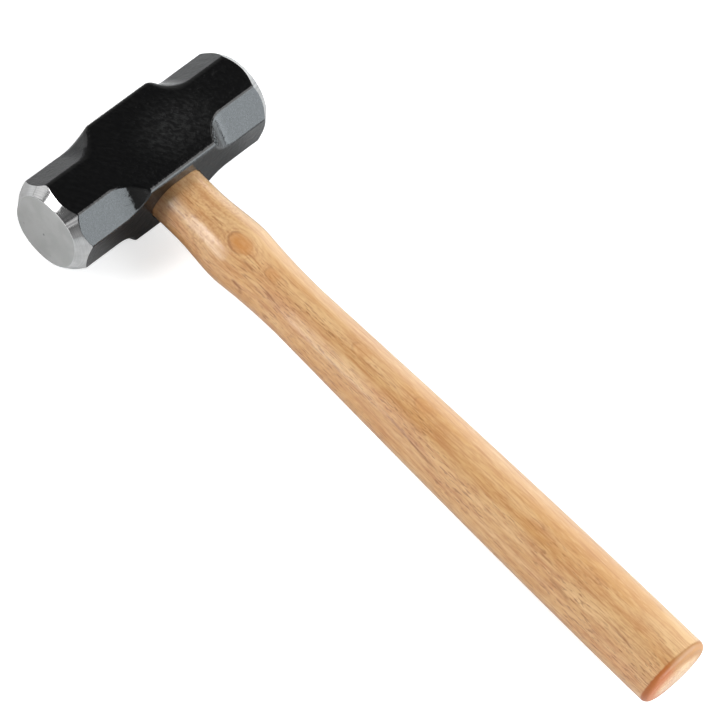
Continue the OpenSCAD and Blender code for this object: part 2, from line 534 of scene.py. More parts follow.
@dataclass(frozen=True)
class WedgeSteel:
    """Mild steel of the cross wedges, with hammer marks on their driven ends."""

    name: str = "wedge_steel"
    bright: Colour = (0.42, 0.42, 0.42)
    dull: Colour = (0.2, 0.195, 0.19)
    rust: Colour = (0.12, 0.06, 0.035)

    def material(self) -> bpy.types.Material:
        """Returns the finish as a material."""
        g = Graph(self.name)
        place = g.place()
        beaten = g.cells(place, 0.9, "SMOOTH_F1")
        grain = g.noise(place, 1.8, 4, 0.6)
        spots = g.noise(g.vector("ADD", place, (5, 1, 9)), 0.7, 3, 0.6)
        colour = g.blend(g.step(g.math("ADD", g.math("MULTIPLY", beaten, 0.6), g.math("MULTIPLY", grain, 0.5)), 0.3, 0.75),
                         self.bright, self.dull)
        colour = g.blend(g.math("MULTIPLY", g.step(spots, 0.58, 0.72), 0.7), colour, self.rust)
        normal = g.bump(beaten, 0.12)
        normal = g.bump(grain, 0.03, normal)
        return g.finish(Base_Color=colour, Metallic=1.0, Roughness=g.span(grain, 0.3, 0.7, 0.28, 0.5), Normal=normal)


@dataclass(frozen=True)
class Knot:
    """A small knot in the wood: its centre, its half sizes, and how strongly it shows."""

    centre: Point
    half: Point
    strength: float


@dataclass(frozen=True)
class Streak:
    """A dark pore line in the wood, from one point of the (x, y) plan to another."""

    start: tuple[float, float]
    end: tuple[float, float]
    width: float
    strength: float


@dataclass(frozen=True)
class HandleWood:
    """Pale hardwood under clear gloss lacquer, stained where the butt's end grain drank it."""

    name: str = "lacquered_wood"
    pale: Colour = linear(226, 186, 134)
    tan: Colour = linear(211, 164, 109)
    golden: Colour = linear(206, 151, 87)
    rosy: Colour = linear(209, 154, 104)
    vein: Colour = linear(180, 118, 68)
    pore: Colour = linear(140, 78, 38)
    knot: Colour = linear(198, 132, 68)
    # colour of the painted shadow of the head on the root
    painted_head_shadow: Colour = linear(96, 66, 44)
    stain: Colour = linear(168, 88, 34)
    stain_light: Colour = linear(168, 114, 58)
    knots: tuple[Knot, ...] = (
        Knot((60.3, -2.5, 12.1), (6.6, 5.0, 7.0), 0.9),
        Knot((79.5, -2.4, 11.0), (4.0, 3.2, 6.0), 0.5),
        Knot((130.5, 0.4, 11.5), (5.5, 3.2, 6.0), 0.4),
        Knot((165.9, 2.0, 12.2), (5.0, 3.6, 6.0), 0.35),
    )
    streaks: tuple[Streak, ...] = (
        Streak((153.0, -10.9), (193.0, -14.0), 0.55, 0.75),
        Streak((66.5, -7.0), (73.0, -7.6), 0.75, 0.8),
        Streak((68.0, -14.0), (75.0, -14.4), 0.6, 0.7),
        Streak((82.0, -9.0), (89.5, -9.6), 0.7, 0.7),
        Streak((120.5, -11.0), (131.5, -11.4), 0.55, 0.8),
        Streak((246.0, -9.4), (254.0, -9.9), 0.8, 0.6),
        Streak((256.0, -13.8), (270.0, -14.6), 0.8, 0.55),
        Streak((291.0, -10.9), (303.0, -11.8), 0.6, 0.65),
    )
    butt_start: float = 317.4
    butt_end: float = 321.5

    def along(self, g: Graph, place: Value) -> tuple[bpy.types.NodeSocket, bpy.types.NodeSocket]:
        """Bends the grain round the first knot.

        Args:
            g: The graph.
            place: The place in millimetres.

        Returns:
            The bent place, and the distance from the first knot in its half sizes.
        """
        first = self.knots[0]
        off = g.vector("SUBTRACT", place, first.centre)
        reach = g.vector("LENGTH", g.vector("MULTIPLY", off, tuple(0.6 / h for h in first.half)))
        near = g.math("EXPONENT", g.math("MULTIPLY", g.math("MULTIPLY", reach, reach), -1.0))
        pull = g.node("ShaderNodeVectorMath", {0: off, "Scale": g.math("MULTIPLY", near, 0.55)}, operation="SCALE").outputs[0]
        sideways = g.vector("MULTIPLY", pull, (0.0, 1.0, 0.3))
        return g.vector("SUBTRACT", place, sideways), reach

    def rings(self, g: Graph, place: Value) -> bpy.types.NodeSocket:
        """Returns the growth rings, 0 in early wood to 1 in late wood."""
        x, y, z = g.split(place)
        drift = g.noise(g.vector("MULTIPLY", place, (0.012, 0.05, 0.05)), 1.0, 2, 0.5)
        side = g.math("ADD", g.math("SUBTRACT", y, 9.0), g.math("MULTIPLY", x, 0.022))
        up = g.math("ADD", g.math("ADD", z, 44.0), g.math("MULTIPLY", drift, 16.0))
        far = g.vector("LENGTH", g.join(0.0, side, up))
        turn = g.math("FRACT", g.math("MULTIPLY", far, 1 / 2.7))
        return g.math("MULTIPLY", g.step(turn, 0.2, 0.86), g.step(turn, 1.0, 0.93))

    def material(self) -> bpy.types.Material:
        """Returns the finish as a material."""
        g = Graph(self.name)
        plain = g.place()
        place, _ = self.along(g, plain)
        x, y, z = g.split(plain)
        rings = self.rings(g, place)
        fibre = g.noise(g.vector("MULTIPLY", place, (0.11, 1.35, 1.35)), 1.0, 4, 0.62)
        flecks = g.noise(g.vector("MULTIPLY", g.vector("ADD", place, (5, 9, 2)), (0.2, 1.5, 1.5)), 1.0, 3, 0.55)
        band = g.noise(g.vector("MULTIPLY", place, (0.011, 0.21, 0.21)), 1.0, 3, 0.5)
        patch = g.noise(g.vector("MULTIPLY", g.vector("ADD", place, (40, 3, 8)), (0.016, 0.07, 0.07)), 1.0, 2, 0.5)
        blush = g.noise(g.vector("MULTIPLY", g.vector("ADD", place, (11, 30, 6)), (0.02, 0.09, 0.09)), 1.0, 3, 0.5)
        vein = g.noise(g.vector("MULTIPLY", g.vector("ADD", place, (9, 0, 0)), (0.035, 0.62, 0.62)), 1.0, 4, 0.6)
        dash = g.noise(g.vector("MULTIPLY", place, (0.22, 1.7, 1.7)), 1.0, 3, 0.5)
        where = g.noise(g.vector("MULTIPLY", g.vector("ADD", place, (0, 50, 0)), (0.03, 0.12, 0.12)), 1.0, 2, 0.5)
        curl = g.noise(plain, 0.5, 3, 0.6, 1.2)
        root = g.step(x, 74.0, 40.0)
        busy = g.span(y, 9.0, -5.0, 0.4, 1.0)

        colour = g.blend(g.step(band, 0.36, 0.64), self.tan, self.pale)
        colour = g.blend(g.math("MULTIPLY", g.step(patch, 0.42, 0.68), 0.7), colour, self.golden)
        colour = g.blend(g.math("MULTIPLY", g.math("MULTIPLY", g.step(blush, 0.44, 0.66), g.step(y, 4.0, -8.0)), 0.7), colour, self.rosy)
        colour = g.blend(g.math("MULTIPLY", rings, 0.18), colour, self.vein)
        colour = g.blend(g.math("MULTIPLY", g.math("MULTIPLY", g.step(fibre, 0.44, 0.66), g.span(root, 0.0, 1.0, 0.42, 0.15)), busy), colour, self.vein)
        colour = g.blend(g.math("MULTIPLY", g.math("MULTIPLY", g.step(flecks, 0.5, 0.64), 0.4), busy), colour, self.vein)
        colour = g.blend(g.math("MULTIPLY", g.step(flecks, 0.46, 0.32), 0.4), colour, self.pale)
        colour = g.blend(g.math("MULTIPLY", g.step(vein, 0.52, 0.66), 0.5), colour, self.vein)
        colour = g.blend(g.math("MULTIPLY", g.math("MULTIPLY", g.step(curl, 0.47, 0.62), root), 0.4), colour, self.vein)
        colour = g.blend(g.math("MULTIPLY", g.math("MULTIPLY", g.step(curl, 0.45, 0.3), root), 0.3), colour, self.pale)
        dots = g.math("MULTIPLY", g.step(dash, 0.56, 0.64), g.math("MULTIPLY", g.step(where, 0.36, 0.55), g.step(y, 4.0, -3.0)))
        colour = g.blend(g.math("MULTIPLY", dots, 0.6), colour, self.pore)

        wobble = g.math("MULTIPLY", g.math("SUBTRACT", g.noise(g.vector("MULTIPLY", plain, (0.12, 0.0, 0.0)), 1.0, 2), 0.5), 1.2)
        for line in self.streaks:
            length = line.end[0] - line.start[0]
            share = g.span(x, line.start[0], line.end[0], 0.0, 1.0)
            middle = g.math("ADD", g.math("MULTIPLY_ADD", share, line.end[1] - line.start[1], line.start[1]), wobble)
            off = g.math("ABSOLUTE", g.math("SUBTRACT", y, middle))
            mask = g.math("MULTIPLY", g.step(off, line.width, 0.0),
                          g.math("MULTIPLY", g.step(x, line.start[0] - 1, line.start[0] + length * 0.25),
                                 g.step(x, line.end[0] + 1, line.end[0] - length * 0.25)))
            mask = g.math("MULTIPLY", mask, g.step(z, 0.0, 2.0))
            colour = g.blend(g.math("MULTIPLY", mask, g.math("MULTIPLY", g.span(fibre, 0.3, 0.6, 0.5, 1.0), line.strength)), colour, self.pore)
        for spot in self.knots:
            reach = g.vector("LENGTH", g.vector("DIVIDE", g.vector("SUBTRACT", plain, spot.centre), spot.half))
            ragged = g.math("ADD", reach, g.math("MULTIPLY", g.math("SUBTRACT", g.math("ADD", band, curl), 1.0), 0.4))
            swirl = g.math("SINE", g.math("MULTIPLY_ADD", ragged, 15.0, g.math("MULTIPLY", curl, 3.0)))
            swirl = g.math("MULTIPLY", g.step(swirl, 0.1, 0.9), g.step(ragged, 2.4, 1.0))
            colour = g.blend(g.math("MULTIPLY", swirl, 0.4 * spot.strength), colour, self.vein)
            core = g.math("MULTIPLY", g.step(ragged, 1.25, 0.45), g.span(fibre, 0.35, 0.65, 1.0, 0.55))
            colour = g.blend(g.math("MULTIPLY", core, spot.strength), colour, self.knot)
            left = g.step(g.math("ADD", g.math("SUBTRACT", x, spot.centre[0]), g.math("SUBTRACT", y, spot.centre[1])), 2.0, -4.0)
            rim = g.step(g.math("ABSOLUTE", g.math("SUBTRACT", ragged, 0.98)), 0.16, 0.03)
            colour = g.blend(g.math("MULTIPLY", g.math("MULTIPLY", rim, left), 0.55 * spot.strength), colour, self.pore)

        ragged_x = g.math("ADD", x, g.math("MULTIPLY", g.math("SUBTRACT", g.noise(plain, 0.45, 3), 0.5), 1.1))
        butt = g.math("MULTIPLY", g.step(ragged_x, self.butt_start - 0.4, self.butt_start + 0.5), g.step(x, self.butt_end - 0.1, self.butt_end - 0.9))
        depth = g.math("ADD", g.step(y, 2.0, -13.0), g.math("MULTIPLY", g.math("SUBTRACT", g.noise(plain, 0.22, 3), 0.5), 0.9))
        stain = g.blend(g.step(depth, 0.1, 0.85), self.stain_light, self.stain)
        colour = g.blend(g.math("MULTIPLY", butt, 0.92), colour, stain)

        # the root beside the head is darkened, most on the -Y side: painted shadow of the head
        painted_head_shadow = g.math("MULTIPLY", g.step(x, 38.0, 22.0), g.span(y, 10.0, -10.0, 0.0, 1.0))
        colour = g.blend(g.math("MULTIPLY", painted_head_shadow, 0.42), colour, self.painted_head_shadow)

        # the -Y side is made paler: painted light for the side that the lamps leave dim
        painted_side_light = g.span(y, -3.0, -13.0, 1.0, 1.1)
        colour = g.node("ShaderNodeVectorMath", {0: colour, "Scale": painted_side_light}, operation="SCALE").outputs[0]

        rough = g.span(fibre, 0.3, 0.7, 0.42, 0.56)
        normal = g.bump(fibre, 0.018)
        normal = g.bump(g.math("SUBTRACT", 1.0, dots), 0.02, normal)
        normal = g.bump(g.noise(plain, 0.05, 2, 0.5), 0.14, normal)
        gloss = g.bump(g.noise(g.vector("MULTIPLY", plain, (0.05, 0.35, 0.35)), 1.0, 3, 0.5), 0.05)
        gloss = g.bump(flecks, 0.02, gloss)
        return g.finish(Base_Color=colour, Roughness=rough, IOR=1.45, Normal=normal,
                        Coat_Weight=g.span(butt, 0.0, 1.0, 1.0, 0.3), Coat_Roughness=0.22, Coat_IOR=1.5, Coat_Normal=gloss)


@dataclass(frozen=True)
class EndGrain:
    """Sawn end grain of the tenon: pores, growth rings and saw marks."""

    name: str = "end_grain"
    light: Colour = linear(196, 148, 102)
    dark: Colour = linear(128, 84, 50)
    pore: Colour = linear(78, 48, 28)
    ring_tilt: float = 0.35

    def material(self) -> bpy.types.Material:
        """Returns the finish as a material."""
        g = Graph(self.name)
        place = g.place()
        x, y, z = g.split(place)
        rings = HandleWood().rings(g, place)
        pores = g.step(g.cells(g.vector("MULTIPLY", place, (0.2, 1, 1)), 1.7), 0.3, 0.12)
        cloud = g.noise(place, 0.3, 4, 0.6)
        saw = g.noise(g.join(0.0, g.math("MULTIPLY", y, 0.12), g.math("MULTIPLY", g.math("ADD", z, g.math("MULTIPLY", y, self.ring_tilt)), 2.2)), 1.0, 2, 0.6)
        colour = g.blend(g.step(cloud, 0.3, 0.7), self.light, self.dark)
        colour = g.blend(g.math("MULTIPLY", rings, 0.5), colour, self.dark)
        colour = g.blend(g.math("MULTIPLY", pores, 0.7), colour, self.pore)
        normal = g.bump(saw, 0.09)
        normal = g.bump(g.math("SUBTRACT", 1.0, pores), 0.08, normal)
        return g.finish(Base_Color=colour, Roughness=g.span(cloud, 0.3, 0.7, 0.5, 0.68), IOR=1.45, Normal=normal)


@dataclass(frozen=True)
class WedgeWood:
    """Darker hardwood of the long wedge, seen on its driven end."""

    name: str = "wedge_wood"
    light: Colour = linear(158, 108, 66)
    dark: Colour = linear(104, 64, 36)
    pore: Colour = linear(60, 36, 20)

    def material(self) -> bpy.types.Material:
        """Returns the finish as a material."""
        g = Graph(self.name)
        place = g.place()
        pores = g.step(g.cells(g.vector("MULTIPLY", place, (0.2, 1, 1)), 2.1), 0.28, 0.1)
        fibre = g.noise(g.vector("MULTIPLY", place, (0.08, 1.1, 2.6)), 1.0, 4, 0.6)
        crushed = g.noise(place, 0.8, 3, 0.6)
        colour = g.blend(g.step(fibre, 0.35, 0.65), self.light, self.dark)
        colour = g.blend(g.math("MULTIPLY", pores, 0.7), colour, self.pore)
        normal = g.bump(crushed, 0.2)
        normal = g.bump(fibre, 0.06, normal)
        return g.finish(Base_Color=colour, Roughness=g.span(crushed, 0.3, 0.7, 0.55, 0.75), IOR=1.45, Normal=normal)


# --------------------------------------------------------------------------
# Sub-assemblies
# --------------------------------------------------------------------------


def round_both(a: np.ndarray, b: np.ndarray, radius: Union[float, np.ndarray]) -> np.ndarray:
    """Signed distance of the common part of two forms, its edge rounded.

    Args:
        a: Signed distance of the first form, below 0 inside.
        b: Signed distance of the second form.
        radius: Radius of the rounding.

    Returns:
        The signed distance.
    """
    u, v = np.maximum(a + radius, 0), np.maximum(b + radius, 0)
    return np.minimum(np.maximum(a, b), -radius) + np.hypot(u, v)


@dataclass
class Eye:
    """The oval hole through the head: two round ends joined by flats, waisted in the middle."""

    long_side: float = 26.7
    short_side: float = 20.7
    lean: float = 0.45
    mouth: float = 0.7
    depth: float = 42.0

    @property
    def flat(self) -> float:
        """Half the straight part between the round ends."""
        return (self.long_side - self.short_side) / 2

    @property
    def waist(self) -> float:
        """Radius of the round ends at the waist."""
        return self.short_side / 2

    @property
    def mouth_radius(self) -> float:
        """Radius of the round ends where the walls reach a mouth."""
        return self.waist + self.lean

    def radius(self, x: np.ndarray) -> np.ndarray:
        """Returns the radius of the round ends at a place along the handle."""
        return self.waist + self.lean * np.minimum(np.abs(x) / (self.depth / 2), 1.0)

    def ring(self, x: float, radius: float, sides: int) -> np.ndarray:
        """Returns one ring of the oval at a place along the handle."""
        turn = 2 * np.pi * (np.arange(sides) + 0.5) / sides
        return np.stack([np.full(sides, x), np.sign(np.cos(turn)) * self.flat + radius * np.cos(turn),
                         radius * np.sin(turn)], axis=1)

    def cutter(self) -> bpy.types.Object:
        """Returns a closed tool that cuts the eye and its two mouths."""
        half, flare = self.depth / 2, 0.6
        inner = self.mouth_radius - self.lean * self.mouth / half
        places = [(-half - flare, self.mouth_radius + self.mouth + flare), (-half + self.mouth, inner), (0.0, self.waist),
                  (half - self.mouth, inner), (half + flare, self.mouth_radius + self.mouth + flare)]
        rings = np.array([self.ring(x, r, 160) for x, r in places])
        points, faces = tube(rings, (-half - flare, 0, 0), (half + flare, 0, 0))
        return link("eye_tool", make_mesh("eye_tool", points, faces))


@dataclass
class Head:
    """The forged head: square in the middle, octagonal to both ends, ground and crowned."""

    length: float = 117.5
    height: float = 42.0
    width: float = 40.0
    edge: float = 2.2
    chamfer: float = 11.5
    middle: float = 38.0
    scallop: float = 16.5
    face: float = 35.0
    crown: float = 0.8
    bevel: float = 45.0
    bevel_length: float = 6.0
    soft_chamfer: float = 0.5
    soft_hollow: float = 0.6
    soft_upper: float = 0.95
    soft_upper_hollow: float = 2.2
    soft_bevel: float = 0.22
    soft_face: float = 0.3
    ground_near: tuple[float, float] = (-0.11, -0.35)
    ground_far: tuple[float, float] = (0.5, -0.42)
    hub: float = 40.0
    columns: int = 448
    ring_step: float = 0.36
    forged: float = 0.1
    eye: Eye = field(default_factory=Eye)
    paint: BlackPaint = field(default_factory=BlackPaint)
    ground: GroundSteel = field(default_factory=GroundSteel)
    struck: StrikingSteel = field(default_factory=StrikingSteel)
    bore: EyeSteel = field(default_factory=EyeSteel)

    @property
    def face_y(self) -> float:
        """How far the edge of a striking face lies from the middle."""
        return self.length / 2 - self.crown

    @property
    def slope(self) -> float:
        """Gain in radius of the bevel for each millimetre inwards."""
        return (self.bevel - self.face) / 2 / self.bevel_length

    @property
    def chamfer_depth(self) -> float:
        """How far the chamfer planes lie below the square edges."""
        return self.chamfer / math.sqrt(2)

    @property
    def chamfer_plane(self) -> float:
        """Distance of the chamfer planes from the middle."""
        return (self.height + self.width) / 2 / math.sqrt(2) - self.chamfer_depth

    @property
    def scallop_y(self) -> float:
        """Where the hollow at the end of a long chamfer starts to rise."""
        return self.middle / 2 + math.sqrt(self.scallop ** 2 - (self.scallop - self.chamfer_depth) ** 2)

    def body(self, p: np.ndarray) -> np.ndarray:
        """Signed distance of the bar with its long chamfers.

        Args:
            p: Points, one row each.

        Returns:
            The distance of each point, below 0 inside.
        """
        x, y, z = np.abs(p).T
        bar = round_both(x - self.height / 2, z - self.width / 2, self.edge)
        out = (x + z) / math.sqrt(2) - self.chamfer_plane
        hollow = self.scallop - np.hypot(np.minimum(y - self.scallop_y, 0), out - self.scallop)
        cut = np.where(y >= self.scallop_y, out, hollow)
        t = np.clip((self.scallop_y + 1 - y) / 9.0, 0, 1)
        t = t * t * (3 - 2 * t)
        lower = self.soft_chamfer + (self.soft_hollow - self.soft_chamfer) * t
        upper = self.soft_upper + (self.soft_upper_hollow - self.soft_upper) * t
        return round_both(bar, cut, np.where(p[:, 0] < 0, upper, lower))

    def cone(self, p: np.ndarray) -> np.ndarray:
        """Signed distance of the bevel's cones, each ground a little off true as by hand."""
        radius = np.hypot(p[:, 0], p[:, 2])
        across = p[:, 0] / np.maximum(radius, 1e-6)
        four = 8 * across ** 4 - 8 * across ** 2 + 1
        near, far = self.ground_near, self.ground_far
        grown = np.where(p[:, 1] < 0, near[0] + near[1] * four, far[0] + far[1] * across)
        return (radius - grown - self.face / 2 - (self.face_y - np.abs(p[:, 1])) * self.slope) / math.hypot(1, self.slope)

    def dome(self, p: np.ndarray) -> np.ndarray:
        """Signed distance of the crowns of the striking faces."""
        ball = (self.face ** 2 / 4 + self.crown ** 2) / (2 * self.crown)
        radius = np.hypot(p[:, 0], p[:, 2])
        return np.hypot(radius, np.abs(p[:, 1]) - (self.length / 2 - ball)) - ball

    def form(self, p: np.ndarray) -> np.ndarray:
        """Signed distance of the whole head without its eye."""
        return round_both(self.body(p), round_both(self.cone(p), self.dome(p), self.soft_face), self.soft_bevel)

    @staticmethod
    def reach(form: Callable[[np.ndarray], np.ndarray], start: np.ndarray, ray: np.ndarray) -> np.ndarray:
        """Walks rays out to a surface.

        Args:
            form: Signed distance of the form.
            start: Where each ray starts, inside the form.
            ray: Direction of each ray.

        Returns:
            The points where the rays leave the form.
        """
        low, high = np.full(len(ray), 4.0), np.full(len(ray), 42.0)
        for _ in range(30):
            middle = (low + high) / 2
            inside = form(start + ray * middle[:, None]) < 0
            low, high = np.where(inside, middle, low), np.where(inside, high, middle)
        return start + ray * ((low + high) / 2)[:, None]

    def turns(self) -> np.ndarray:
        """Returns the directions of the columns, closer together at the long edges."""
        h, w, c = self.height / 2, self.width / 2, self.chamfer
        corners = [math.atan2(w - c, h), math.atan2(w, h), math.atan2(w, h - c)]
        edges = [s * a + b for a in corners for s, b in ((1, 0), (-1, 0), (1, math.pi), (-1, math.pi))]
        fine = np.linspace(-math.pi, math.pi, 7201)
        weight = np.ones_like(fine)
        for edge in edges:
            near = (fine - edge + math.pi) % (2 * math.pi) - math.pi
            weight += 2.6 * np.exp(-(near / math.radians(1.7)) ** 2)
        total = np.concatenate([[0], np.cumsum((weight[1:] + weight[:-1]) / 2)])
        return np.interp(np.arange(self.columns) / self.columns * total[-1], total, fine)

    @staticmethod
    def aim(turn: np.ndarray, tilt: np.ndarray, side: int) -> np.ndarray:
        """Returns the rays of all columns, tilted towards one end of the head."""
        return np.stack([np.cos(tilt) * np.cos(turn), side * np.sin(tilt), np.cos(tilt) * np.sin(turn)], axis=1)

    def border(self, turn: np.ndarray, side: int, form: Callable[[np.ndarray], np.ndarray], sign: int) -> np.ndarray:
        """Finds, for each column, how far its ray tilts where the bevel meets another form.

        Args:
            turn: Directions of the columns.
            side: -1 for the near end, 1 for the far end.
            form: Signed distance of the other form.
            sign: 1 where the form lies before the bevel, -1 where it lies behind it.

        Returns:
            The tilts in radians.
        """
        low, high = np.full(len(turn), 0.05), np.full(len(turn), 1.2)
        start = np.tile([0.0, side * self.hub, 0.0], (len(turn), 1))
        for _ in range(24):
            tilt = (low + high) / 2
            before = sign * self.cone(self.reach(form, start, self.aim(turn, tilt, side))) < 0
            low, high = np.where(before, tilt, low), np.where(before, high, tilt)
        return (low + high) / 2

    def end(self, turn: np.ndarray, side: int) -> list[tuple[np.ndarray, int]]:
        """Places the rings of one end, with rings along both edges of its bevel.

        Args:
            turn: Directions of the columns.
            side: -1 for the near end, 1 for the far end.

        Returns:
            The rays of each ring, and its material slot.
        """
        edge, rim = self.border(turn, side, self.body, 1), self.border(turn, side, self.dome, -1)
        rings = [(edge * (1 - (1 - s) ** 1.9), 0) for s in np.linspace(0, 1, 31)[1:]]
        share = np.linspace(0, 1, 25)[1:]
        rings += [(edge + (rim - edge) * (s - 0.86 * math.sin(2 * math.pi * s) / (2 * math.pi)), 0 if s < 0.13 else 1)
                  for s in share]
        rings += [(rim + (math.pi / 2 - rim) * s ** 1.7, 2) for s in np.linspace(0, 1, 29)[1:-1]]
        return [(self.aim(turn, tilt, side), slot) for tilt, slot in rings]

    def skin(self) -> tuple[np.ndarray, list[tuple[int, ...]], list[int]]:
        """Samples the head's surface in rings, from the near striking face to the far one.

        Returns:
            The points, the faces, and the material slot of each face.
        """
        turn = self.turns()
        flat = self.aim(turn, np.zeros_like(turn), 1)
        near, far = self.end(turn, -1)[::-1], self.end(turn, 1)
        barrel = np.linspace(-self.hub, self.hub, int(round(2 * self.hub / self.ring_step)) + 1)
        rows = [(-self.hub, rays) for rays, _ in near] + [(y, flat) for y in barrel] + [(self.hub, rays) for rays, _ in far]
        starts = np.vstack([np.tile([0.0, y, 0.0], (len(turn), 1)) for y, _ in rows])
        rings = self.reach(self.form, starts, np.vstack([rays for _, rays in rows])).reshape(len(rows), -1, 3)
        kinds = [slot for _, slot in near] + [0] * (len(barrel) - 1) + [slot for _, slot in far]
        points, faces = tube(rings, (0, -self.length / 2, 0), (0, self.length / 2, 0))
        per_face = [kind for kind in kinds for _ in range(self.columns)] + [2] * (2 * self.columns)
        return self.forge(points), faces, per_face

    def forge(self, points: np.ndarray) -> np.ndarray:
        """Sinks the painted skin by an uneven fraction of a millimetre, as a forging die leaves it.

        Args:
            points: Points of the skin.

        Returns:
            The moved points. The ground bevels and faces stay true.
        """
        rng = np.random.default_rng(21)
        waves = rng.normal(size=(14, 3)) * (0.16, 0.12, 0.16)
        phase = rng.uniform(0, 2 * math.pi, 14)
        uneven = np.sin(points @ waves.T + phase).sum(axis=1) / 14
        painted = np.clip((-self.cone(points) - 0.3) / 3.0, 0, 1)
        sink = self.forged * painted * (0.5 + 0.9 * uneven).clip(0, 1)
        step = 0.01
        slope = np.stack([(self.body(points + d) - self.body(points - d)) / (2 * step)
                          for d in np.eye(3) * step], axis=1)
        slope /= np.maximum(np.linalg.norm(slope, axis=1, keepdims=True), 1e-9)
        return points - slope * sink[:, None]

    def build(self) -> bpy.types.Object:
        """Builds and dresses the head.

        Returns:
            The head, standing for its CAD node.
        """
        points, faces, slots = self.skin()
        mesh = make_mesh("head_skin", points, faces)
        for finish in (self.paint, self.ground, self.struck, self.bore):
            mesh.materials.append(finish.material())
        mesh.polygons.foreach_set("material_index", slots)
        piece = link("hammer_head", mesh)
        tool = self.eye.cutter()
        for slot in mesh.materials:
            tool.data.materials.append(slot)
        tool.data.polygons.foreach_set("material_index", [3] * len(tool.data.polygons))
        carve(piece, [tool], Cut.AWAY)
        self.part_eye(piece.data)
        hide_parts("head")
        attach(piece, ROOT)
        return piece

    @staticmethod
    def part_eye(mesh: bpy.types.Mesh) -> None:
        """Keeps the shading of the eye's walls apart from the skin's.

        Args:
            mesh: The carved head.
        """
        mesh.shade_smooth()
        kinds: dict[int, set[bool]] = {}
        for face in mesh.polygons:
            for key in face.loop_indices:
                kinds.setdefault(mesh.loops[key].edge_index, set()).add(face.material_index == 3)
        sharp = [len(kinds.get(i, ())) > 1 for i in range(len(mesh.edges))]
        layer = mesh.attributes.get("sharp_edge") or mesh.attributes.new("sharp_edge", "BOOLEAN", "EDGE")
        layer.data.foreach_set("value", sharp)
        mesh.update()


